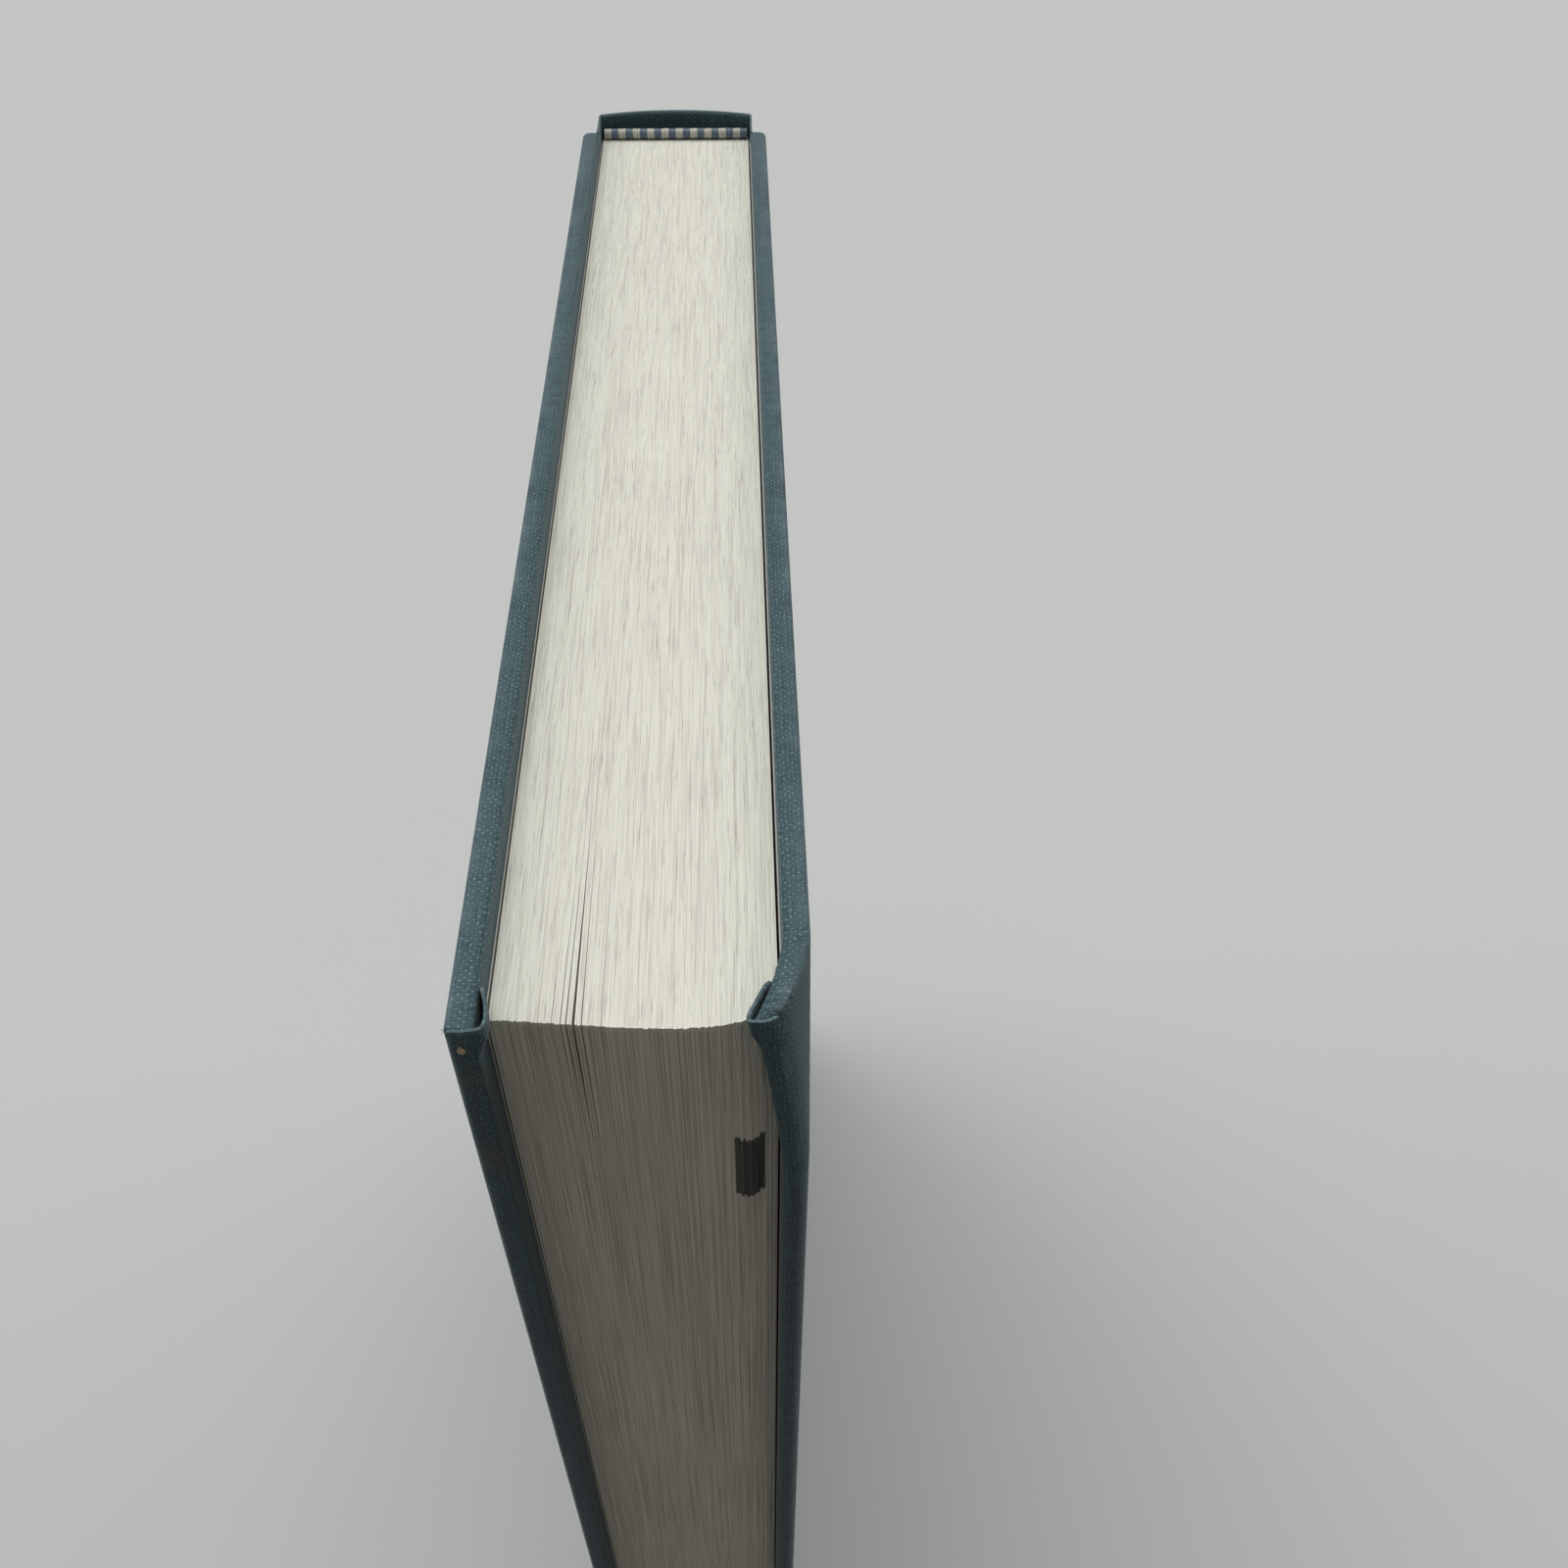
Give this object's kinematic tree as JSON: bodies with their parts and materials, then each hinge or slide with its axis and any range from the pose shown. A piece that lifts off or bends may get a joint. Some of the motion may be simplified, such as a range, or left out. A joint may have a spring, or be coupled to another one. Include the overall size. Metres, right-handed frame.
{
  "type": "hardcover reference book",
  "caption": "Upright cloth-covered hardcover book with cream leaves, a hollow spine, striped end bands and hinged covers; one corner is bumped.",
  "frame": {"origin": "middle of the footprint, on the surface the book stands on", "axes": "+Z from tail to head, +Y from fore-edge to spine, +X from front cover to back cover"},
  "size_m": [0.0296, 0.1846, 0.2606],
  "materials": {
    "leaves": "matte",
    "endpaper": "matte",
    "book_cloth": "matte woven",
    "grey_board": "matte",
    "spine_card": "matte",
    "gauze": "open weave",
    "kraft_lining": "matte",
    "band_thread": "satin stripes"
  },
  "bodies": {
    "book_block": {"text_block": "leaves", "front_flyleaf": "endpaper", "back_flyleaf": "endpaper", "spine_mull": "gauze", "spine_lining": "kraft_lining", "headband": "band_thread", "tailband": "band_thread", "spine_inlay": "spine_card", "spine_cloth": "book_cloth"},
    "front_cover": {"front_board": "grey_board", "front_cloth": "book_cloth", "front_pastedown": "endpaper"},
    "back_cover": {"back_board": "grey_board", "back_cloth": "book_cloth", "back_pastedown": "endpaper"}
  },
  "joints": [
    {"name": "front_cover_hinge", "type": "hinge", "parent": "book_block", "child": "front_cover", "pos_m": [-0.01279, 0.0876, 0.1303], "axis": [0, 0, -1], "range_deg": [0, 175]},
    {"name": "back_cover_hinge", "type": "hinge", "parent": "book_block", "child": "back_cover", "pos_m": [0.01279, 0.0876, 0.1303], "axis": [0, 0, 1], "range_deg": [0, 175]}
  ]
}
